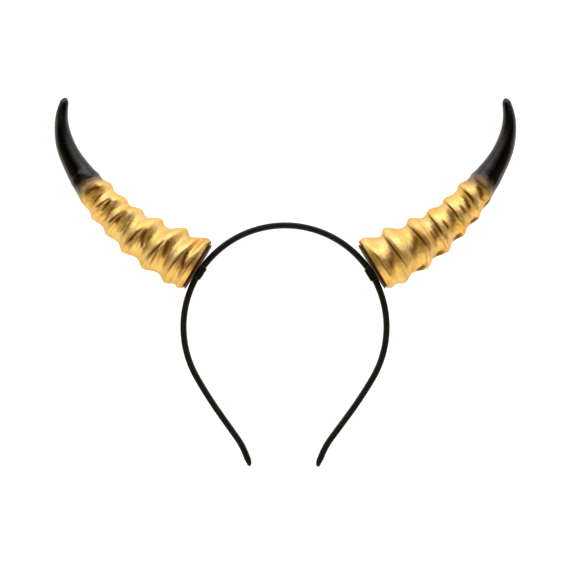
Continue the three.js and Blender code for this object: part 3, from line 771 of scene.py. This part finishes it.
def hornAxis():
    share = np.linspace(0, 1, horn["axisSteps"] + 1)
    heading = np.radians(smoothTable(hornBends[:, 0], hornBends[:, 1], share))
    middle = (heading[1:] + heading[:-1]) / 2
    step = horn["length"] / horn["axisSteps"]
    x = np.concatenate([[0], np.cumsum(step * np.cos(middle))])
    y = np.concatenate([[0], np.cumsum(step * np.sin(middle))])
    return share * horn["length"], x, y, heading


def ringFrames(runs):
    at, x, y, heading = hornAxis()
    square = np.interp(runs, at, heading)
    settle = np.maximum(1 - runs / horn["settles"], 0)  # the first ring lies square on the plate
    return np.interp(runs, at, x), np.interp(runs, at, y), square - heading[0] * settle ** 2


def hornRings(runs, rounds, out):
    # out is the distance from the axis, a row for each ring
    x, y, square = ringFrames(runs)
    angle = rounds * 2 * math.pi
    upward = out * np.cos(angle)[None, :]
    return np.stack([
        x[:, None] - upward * np.sin(square)[:, None],
        y[:, None] + upward * np.cos(square)[:, None],
        -out * np.sin(angle)[None, :]], axis=2)


def outwardOf(runs, rounds):
    _, _, square = ringFrames(runs)
    angle = rounds * 2 * math.pi
    flat = np.cos(angle)[None, :]
    return np.stack([-flat * np.sin(square)[:, None], flat * np.cos(square)[:, None],
                     np.broadcast_to(-np.sin(angle)[None, :], (len(runs), len(rounds)))], axis=2)


def skinRadius(runs):
    return smoothTable(hornSections[:, 0], hornSections[:, 1], runs / horn["length"]) * horn["radius"]


def tipRadius(runs):
    # the last bit is rounded off
    left = np.clip((horn["length"] - runs) / horn["tipRound"], 0, 1)
    return np.sqrt(1 - (1 - left) ** 2)


def outerRuns():
    rim = horn["rimRound"] * np.array(horn["rimSteps"])
    body = np.linspace(horn["rimRound"], horn["tipFrom"], horn["rings"])
    turn = np.linspace(0, math.pi / 2, horn["tipRings"])[1:-1]
    tip = horn["tipFrom"] + (horn["length"] - horn["tipFrom"]) * np.sin(turn)
    return np.concatenate([rim, body, tip])


def skinMesh(name, points, start, end):
    # a closed skin over rings of points, drawn together at both ends
    rings, sides = points.shape[:2]
    flat = np.vstack([[start], points.reshape(-1, 3), [end]])
    ring = np.arange(rings - 1)[:, None] * sides + 1
    side = np.arange(sides)[None, :]
    following = (side + 1) % sides
    quads = np.stack([ring + side, ring + following, ring + sides + following, ring + sides + side], axis=2)
    faces = quads.reshape(-1, 4).tolist()
    lastRing = 1 + (rings - 1) * sides
    for i in range(sides):
        j = (i + 1) % sides
        faces.append((0, 1 + j, 1 + i))
        faces.append((len(flat) - 1, lastRing + i, lastRing + j))
    return newMesh(name, flat, faces)


def hornReliefTree():
    # raises the ridge and the folds out of the smooth horn, and sinks the creases
    add, given, named, finish = newShapeTree("hornRelief", ("Ridge Share", "Fold Share", "Groove Depth"))
    ridge = calc(add, "MULTIPLY", named("ridge"), given["Ridge Share"])
    raised = calc(add, "MULTIPLY_ADD", named("folds"), given["Fold Share"], ridge)
    groove = calc(add, "MULTIPLY", named("groove"), given["Groove Depth"])
    offset = scaled(add, named("outwards", "FLOAT_VECTOR"), calc(add, "SUBTRACT", raised, groove))
    return finish(add("GeometryNodeSetPosition", {"Geometry": given["Geometry"], "Offset": offset}))


# where the horns sit on the arch: the angle up from its side, and how far each horn rises and leans
seat = {
    "angle": 32.2, "gap": 0.3,
    "right": {"turned": 0.0, "rise": 3.5, "lean": -0.15},
    "left": {"turned": math.pi, "rise": 2.15, "lean": -0.9},
}


def seatMatrix(side):
    place = seat[side]
    base = arch["outsideWidth"] / 2 + 2 * seat["gap"] + plate["thickness"]
    turned = Matrix.Rotation(place["turned"], 4, "Y") @ Matrix.Rotation(math.radians(seat["angle"]), 4, "Z")
    leaning = Matrix.Rotation(math.radians(place["lean"]), 4, "Z")
    return np.array(turned @ Matrix.Translation((base, place["rise"], 0)) @ leaning)


def seated(points, side):
    matrix = seatMatrix(side)
    return layDown(np.asarray(points) @ matrix[:3, :3].T + matrix[:3, 3])


# millimetres over which the relief fades in from the rim and out at the tip
fades = {"uneven": 8.0, "folds": 2.5, "tipFrom": 88.0, "tipOver": 14.0, "endFrom": 130.0, "endOver": 12.0}


def hornParts():
    # the horn before it is seated: points by ring and side, with what the relief and the paint need
    rounds = np.arange(horn["sides"]) / horn["sides"]
    runs = outerRuns()
    innerRuns = np.linspace(horn["shellEnd"], 0, horn["innerRings"])
    back = 1 - np.clip(runs / horn["rimRound"], 0, 1)
    inset = horn["rimRound"] * (1 - np.sqrt(1 - back ** 2))
    smooth = skinRadius(runs) * tipRadius(runs) - inset
    innerSmooth = skinRadius(innerRuns) - horn["wall"]
    ridge = ridgeHeights(runs, rounds)
    tipCalm = (1 - gentle((runs - fades["tipFrom"]) / fades["tipOver"]))[:, None]
    endCalm = (1 - gentle((runs - fades["endFrom"]) / fades["endOver"]))[:, None]
    calm = gentle(runs / fades["uneven"])[:, None] * tipCalm
    nearRim = gentle(runs / fades["folds"])[:, None] * tipCalm
    folds = (waves(runs, rounds, "broad") + waves(runs, rounds, "fine")) * calm
    folds += lesserHeights(runs, rounds) * nearRim + bevelHeights(runs, rounds)
    folds += waves(runs, rounds, "tip") * (1 - tipCalm) * endCalm
    groove = grooveDepths(runs, rounds) * nearRim
    # painted shade where slopes face the base, at the rim and along the strokes; the creases and the
    # strongest strokes take a darker painted shade
    brown = paintedShadeAmount(runs, rounds, ridge + folds)
    overShade = np.clip(brown - 1, 0, 1)
    paintedCreaseShade = np.clip(groove * creaseLook["dark"] + overShade * creaseLook["overShade"], 0, 1)
    noneInside = np.zeros((len(innerRuns), len(rounds)))
    parts = {
        "points": np.vstack([hornRings(innerRuns, rounds, np.repeat(innerSmooth[:, None], len(rounds), 1)),
                             hornRings(runs, rounds, np.repeat(smooth[:, None], len(rounds), 1))]),
        "outwards": np.vstack([outwardOf(innerRuns, rounds), outwardOf(runs, rounds)]),
        "ridge": np.vstack([horn["innerRidge"] * ridgeHeights(innerRuns, rounds), ridge]),
    }
    for key, values in (("folds", folds), ("groove", groove), ("paintedShade", brown), ("paintedCreaseShade", paintedCreaseShade)):
        parts[key] = np.vstack([noneInside, values])
    allRuns = np.concatenate([innerRuns, runs])[:, None]
    angle = rounds * 2 * math.pi
    parts["spray"] = allRuns + horn["sprayLean"] * np.cos(2 * angle)[None, :]  # further along on the sides
    radius = np.concatenate([innerSmooth, smooth])[:, None]
    parts["straight"] = np.stack([
        np.repeat(allRuns, len(rounds), 1), radius * np.cos(angle), radius * np.sin(angle)], axis=2)
    parts["endRuns"] = np.array([horn["shellEnd"] + horn["wall"], horn["length"]])
    x, y, _ = ringFrames(parts["endRuns"])
    parts["ends"] = np.column_stack([x, y, [0, 0]])
    return parts


def withEnds(rows, first, last):
    # one row for each point of the skin, with its two poles
    flat = rows.reshape(-1, rows.shape[-1]) if rows.ndim == 3 else rows.reshape(-1)
    return np.concatenate([[first], flat, [last]])


def makeHorn(side, parts, tree):
    matrix = seatMatrix(side)
    shape = parts["points"].shape
    points = seated(parts["points"].reshape(-1, 3), side).reshape(shape)
    ends = seated(parts["ends"], side)
    turn = layTurn @ matrix[:3, :3]
    outwards = parts["outwards"] @ turn.T
    mesh = skinMesh("hornSmooth", points, ends[0], ends[1])
    pointVectors(mesh, "outwards", withEnds(outwards, (0, 0, 0), (0, 0, 0)))
    innerEnd, outerEnd = parts["endRuns"]
    pointVectors(mesh, "straight", withEnds(parts["straight"], (innerEnd, 0, 0), (outerEnd, 0, 0)))
    pointFloats(mesh, "spray", withEnds(parts["spray"], 0, outerEnd))
    for key in ("ridge", "folds", "groove", "paintedShade", "paintedCreaseShade"):
        pointFloats(mesh, key, withEnds(parts[key], 0, 0))
    made = bakeTree("horn" + side.capitalize(), mesh, tree, {
        "Ridge Share": mm, "Fold Share": mm, "Groove Depth": mm, "Material": goldOnHorn})
    keepInBox(made)
    faceOutwards(made)
    for label in ("outwards", "ridge", "folds", "groove"):
        made.attributes.remove(made.attributes[label])
    piece = newPiece("horn" + side.capitalize(), made)
    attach(piece, "root")
    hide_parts("horn_" + side)


plate = {
    "thickness": 1.0, "edge": 0.35, "inset": 0.6, "sides": 96, "edgeSteps": 6, "faceRings": (0.3, 0.65, 0.9),
}


def makePlate(side):
    half, edge = plate["thickness"] / 2, plate["edge"]
    radius = hornSections[0, 1] * horn["radius"] - plate["inset"]
    turn = np.linspace(0, math.pi / 2, plate["edgeSteps"])
    outline = [(radius * share, -half) for share in plate["faceRings"]]
    outline += [(radius - edge + edge * math.sin(a), -half + edge - edge * math.cos(a)) for a in turn]
    outline += [(radius - edge + edge * math.cos(a), half - edge + edge * math.sin(a)) for a in turn]
    outline += [(radius * share, half) for share in plate["faceRings"][::-1]]
    around = np.linspace(0, 2 * math.pi, plate["sides"], endpoint=False)
    middle = -seat["gap"] - half
    rings = np.array([[(middle + x, r * math.cos(a), r * math.sin(a)) for a in around] for r, x in outline])
    points = seated(rings.reshape(-1, 3), side).reshape(rings.shape)
    ends = seated([(middle - half, 0, 0), (middle + half, 0, 0)], side)
    mesh = skinMesh("basePlate" + side.capitalize(), points, ends[0], ends[1])
    faceOutwards(mesh)
    putMaterial(mesh, plateShadedGold)
    piece = newPiece("basePlate" + side.capitalize(), mesh)
    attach(piece, "root")
    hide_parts("base_plate_" + side)


clip = {"roundEdge": 0.45, "roundSteps": 4, "flatBelow": 4, "sharpAbove": 35}  # angles in degrees


def makeClip(side):
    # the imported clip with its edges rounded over
    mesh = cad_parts["band_clip_" + side].data.copy()
    mesh.name = "bandClip" + side.capitalize()
    work = bmesh.new()
    work.from_mesh(mesh)
    bmesh.ops.remove_doubles(work, verts=work.verts, dist=mergeReach)
    bmesh.ops.dissolve_limit(work, angle_limit=math.radians(clip["flatBelow"]), verts=work.verts,
                             edges=work.edges)
    sharpAngle = math.radians(clip["sharpAbove"])
    sharp = [e for e in work.edges if e.is_manifold and e.calc_face_angle(0) > sharpAngle]
    bmesh.ops.bevel(work, geom=sharp, offset=clip["roundEdge"] * mm, segments=clip["roundSteps"], profile=0.5,
                    affect="EDGES", clamp_overlap=True)
    bmesh.ops.triangulate(work, faces=work.faces)
    work.to_mesh(mesh)
    work.free()
    faceOutwards(mesh)
    mesh.polygons.foreach_set("use_smooth", [False] * len(mesh.polygons))
    putMaterial(mesh, clipBlack)
    piece = newPiece("bandClip" + side.capitalize(), mesh)
    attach(piece, "root")
    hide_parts("band_clip_" + side)


reliefTree = hornReliefTree()
shared = hornParts()
for side in ("right", "left"):
    makeHorn(side, shared, reliefTree)
    makePlate(side)
    makeClip(side)

print("stage: floor, light and camera")
acrossPicture, upPicture, toCamera = (Vector(layTurn[:, i]) for i in range(3))
floor = {"half": 4.0, "colour": (0.5, 0.5, 0.5, 1), "roughness": 0.8, "specular": 0.1, "glow": 0.96}


def makeFloor():
    half = floor["half"]
    mesh = newMesh("floor", [(-half, -half, 0), (half, -half, 0), (half, half, 0), (-half, half, 0)],
                   [(0, 1, 2, 3)])
    material, _, shader = newMaterial("paleFloor")
    shader.inputs["Base Color"].default_value = floor["colour"]
    shader.inputs["Roughness"].default_value = floor["roughness"]
    shader.inputs["Specular IOR Level"].default_value = floor["specular"]
    shader.inputs["Emission Color"].default_value = (1, 1, 1, 1)
    shader.inputs["Emission Strength"].default_value = floor["glow"]
    putMaterial(mesh, material)
    newPiece("floor", mesh)


# strengths, and between which shares of a direction each part of the sky comes in
sky = {
    "seen": 1.0, "dark": 0.02, "fill": 0.24, "fillFrom": -0.2, "fillTo": 0.35,
    "top": 1.16, "topFrom": 0.26, "topTo": 0.62, "bottom": 1.15, "bottomFrom": 0.48, "bottomTo": 0.8,
    "sides": 1.12, "sidesFrom": 0.55, "sidesTo": 0.1, "belowTo": -0.25, "aboveFrom": 0.1,
    "openAt": 0.8, "bottomTintAt": 0.4,
    "beltColour": (1.0, 0.6, 0.2, 1), "topColour": (1.0, 0.99, 0.97, 1), "bottomColour": (1.0, 0.9, 0.66, 1),
}


def makeWorld():
    # open above, below and at the sides of the picture, and dim and warm round the camera
    world = bpy.data.worlds.new("studio")
    scene.world = world
    world.use_nodes = True
    world.node_tree.nodes.clear()
    add = nodeTool(world.node_tree)
    towards = add("ShaderNodeTexCoord").outputs["Generated"]

    def reach(direction, start, end, level):
        along = add("ShaderNodeVectorMath", {0: towards, 1: direction}, operation="DOT_PRODUCT")
        return ramp(add, along.outputs["Value"], start, end, 0.0, level, "SMOOTHSTEP")

    top = reach(upPicture, sky["topFrom"], sky["topTo"], sky["top"])
    bottom = reach(-upPicture, sky["bottomFrom"], sky["bottomTo"], sky["bottom"])
    sides = reach(-toCamera, -sky["sidesFrom"], -sky["sidesTo"], sky["sides"])
    notBelow = reach(upPicture, sky["belowTo"], sky["aboveFrom"], 1.0)
    upper = calc(add, "MAXIMUM", top, calc(add, "MULTIPLY", sides, notBelow))
    level = calc(add, "ADD", upper, bottom)
    fill = calc(add, "ADD", reach(-upPicture, sky["fillFrom"], sky["fillTo"], sky["fill"]), sky["dark"])
    lit = calc(add, "ADD", level, fill)
    low = ramp(add, bottom, 0.0, sky["bottomTintAt"])
    opened = mixColours(add, low, sky["topColour"], sky["bottomColour"])
    tint = mixColours(add, ramp(add, level, 0.0, sky["openAt"]), sky["beltColour"], opened)
    seen = add("ShaderNodeLightPath").outputs["Is Camera Ray"]
    strength = add("ShaderNodeMix", {0: seen, 2: lit, 3: sky["seen"]})
    white = mixColours(add, seen, tint, (1, 1, 1, 1))
    shade = add("ShaderNodeBackground", {"Color": white, "Strength": strength.outputs[0]})
    add("ShaderNodeOutputWorld", {"Surface": shade.outputs[0]})


# the angle is measured from the camera towards the top of the picture
keySoftbox = {"angle": 68, "away": 1.2, "size": (1.6, 0.9), "watts": 5.5, "aim": (0, 30, 0)}


def makeKeyLight():
    angle = math.radians(keySoftbox["angle"])
    towards = toCamera * math.cos(angle) + upPicture * math.sin(angle)
    light = bpy.data.lights.new("keySoftbox", "AREA")
    light.shape, light.energy = "RECTANGLE", keySoftbox["watts"]
    light.size, light.size_y = keySoftbox["size"]
    lamp = bpy.data.objects.new("keySoftbox", light)
    lamp.location = Vector(layDown(keySoftbox["aim"])) + towards * keySoftbox["away"]
    lamp.rotation_euler = towards.to_track_quat("Z", "Y").to_euler()
    scene.collection.objects.link(lamp)


# aim is a place in the arch's plane, in millimetres; away and seenWidth are in metres
pictureView = {
    "away": 1.5, "seenWidth": 0.3567, "roll": 0.53, "aim": (0.70, 25.2), "sensor": 36, "clipEnd": 20,
}


def makeCamera():
    roll = math.radians(pictureView["roll"])
    right = acrossPicture * math.cos(roll) + upPicture * math.sin(roll)
    up = upPicture * math.cos(roll) - acrossPicture * math.sin(roll)
    camera = bpy.data.objects.new("camera", bpy.data.cameras.new("camera"))
    place = Vector(layDown((*pictureView["aim"], 0))) + toCamera * pictureView["away"]
    camera.matrix_world = Matrix.Translation(place) @ Matrix((right, up, toCamera)).transposed().to_4x4()
    camera.data.sensor_width = pictureView["sensor"]
    camera.data.lens = pictureView["sensor"] * pictureView["away"] / pictureView["seenWidth"]
    camera.data.clip_end = pictureView["clipEnd"]
    scene.collection.objects.link(camera)
    scene.camera = camera


makeFloor()
makeWorld()
makeKeyLight()
makeCamera()
scene.view_settings.view_transform = "Standard"
